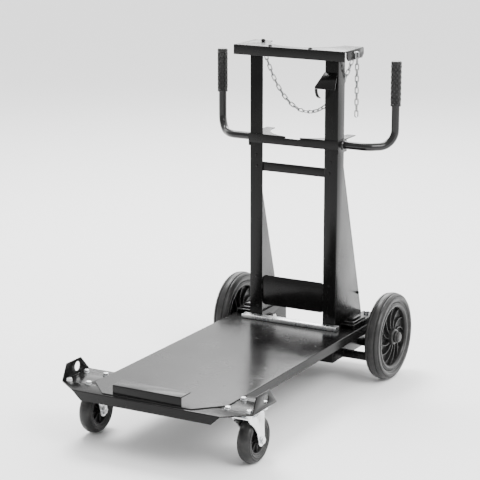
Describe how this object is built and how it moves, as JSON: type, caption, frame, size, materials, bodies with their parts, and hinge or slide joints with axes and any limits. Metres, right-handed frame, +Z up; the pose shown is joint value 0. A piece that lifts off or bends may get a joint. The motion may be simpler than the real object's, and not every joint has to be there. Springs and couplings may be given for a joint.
{
  "type": "welding cart",
  "caption": "Four-wheeled cart with a low tray for a power source, swivel casters in front, large rear wheels and tall uprights that hold a gas cylinder.",
  "frame": {"origin": "on the floor, under the middle of the cart's bounding box", "axes": "+Z up, -Y towards the front plate, +X towards the side with the chain's tail"},
  "size_m": [0.5736, 1.049, 0.9603],
  "materials": {
    "black_powder_coat": "glossy powder coat",
    "bright_zinc": "bright zinc plate",
    "plain_steel": "turned steel",
    "black_nylon": "moulded",
    "dark_grey_rubber": "matt",
    "black_grip_rubber": "matt"
  },
  "bodies": {
    "chassis": {"axle_cap_left": "black_nylon", "axle_cap_right": "black_nylon", "axle_mount_left": "black_powder_coat", "axle_mount_right": "black_powder_coat", "base_tray": "black_powder_coat", "cable_hook": "black_powder_coat", "caster_bolt_left_1": "bright_zinc", "caster_bolt_left_2": "bright_zinc", "caster_bolt_left_3": "bright_zinc", "caster_bolt_left_4": "bright_zinc", "caster_bolt_right_1": "bright_zinc", "caster_bolt_right_2": "bright_zinc", "caster_bolt_right_3": "bright_zinc", "caster_bolt_right_4": "bright_zinc", "caster_plate_left": "bright_zinc", "caster_plate_right": "bright_zinc", "chain_anchor_bolt": "black_powder_coat", "cradle_plate": "black_powder_coat", "cross_bar": "black_powder_coat", "cylinder_well": "black_powder_coat", "front_plate": "black_powder_coat", "front_stop": "black_powder_coat", "handle_grip_left": "black_grip_rubber", "handle_grip_right": "black_grip_rubber", "handle_tube_left": "black_powder_coat", "handle_tube_right": "black_powder_coat", "head_bar": "black_powder_coat", "head_bolt_1": "black_powder_coat", "head_bolt_2": "black_powder_coat", "head_plate": "black_powder_coat", "lashing_ear_left": "black_powder_coat", "lashing_ear_right": "black_powder_coat", "lower_panel": "black_powder_coat", "rear_stop": "bright_zinc", "retaining_hook": "black_powder_coat", "stub_axle_left": "plain_steel", "stub_axle_right": "plain_steel", "swivel_pin_left": "bright_zinc", "swivel_pin_right": "bright_zinc", "upright_left": "black_powder_coat", "upright_right": "black_powder_coat", "wheel_bracket_left": "black_powder_coat", "wheel_bracket_right": "black_powder_coat", "wheel_spacer_left": "plain_steel", "wheel_spacer_right": "plain_steel"},
    "caster_left": {"caster_fork_left": "bright_zinc", "caster_axle_left": "bright_zinc"},
    "caster_wheel_left": {"caster_hub_left": "black_nylon", "caster_tyre_left": "dark_grey_rubber"},
    "rear_wheel_left": {"rear_rim_left": "black_nylon", "rear_tyre_left": "dark_grey_rubber"},
    "caster_right": {"caster_fork_right": "bright_zinc", "caster_axle_right": "bright_zinc"},
    "caster_wheel_right": {"caster_hub_right": "black_nylon", "caster_tyre_right": "dark_grey_rubber"},
    "rear_wheel_right": {"rear_rim_right": "black_nylon", "rear_tyre_right": "dark_grey_rubber"},
    "chain_loop": {"chain_loop": "bright_zinc"},
    "chain_tail": {"chain_tail": "bright_zinc"}
  },
  "joints": [
    {"name": "swivel_left", "type": "hinge", "parent": "chassis", "child": "caster_left", "pos_m": [-0.234, -0.4245, 0.136], "axis": [0, 0, 1], "continuous": true},
    {"name": "caster_spin_left", "type": "hinge", "parent": "caster_left", "child": "caster_wheel_left", "pos_m": [-0.234, -0.3875, 0.0625], "axis": [1, 0, 0], "continuous": true},
    {"name": "rear_spin_left", "type": "hinge", "parent": "chassis", "child": "rear_wheel_left", "pos_m": [-0.244, 0.3995, 0.125], "axis": [1, 0, 0], "continuous": true},
    {"name": "swivel_right", "type": "hinge", "parent": "chassis", "child": "caster_right", "pos_m": [0.234, -0.4245, 0.136], "axis": [0, 0, 1], "continuous": true},
    {"name": "caster_spin_right", "type": "hinge", "parent": "caster_right", "child": "caster_wheel_right", "pos_m": [0.234, -0.3875, 0.0625], "axis": [1, 0, 0], "continuous": true},
    {"name": "rear_spin_right", "type": "hinge", "parent": "chassis", "child": "rear_wheel_right", "pos_m": [0.244, 0.3995, 0.125], "axis": [1, 0, 0], "continuous": true},
    {"name": "chain_swing", "type": "hinge", "parent": "chassis", "child": "chain_loop", "pos_m": [0.01935, 0.323, 0.941], "axis": [0.9998, -0.0174, 0.0104], "range_deg": [0, 75]},
    {"name": "tail_swing", "type": "hinge", "parent": "chassis", "child": "chain_tail", "pos_m": [0.1768, 0.3055, 0.939], "axis": [1, 0, 0], "range_deg": [-60, 60]}
  ]
}
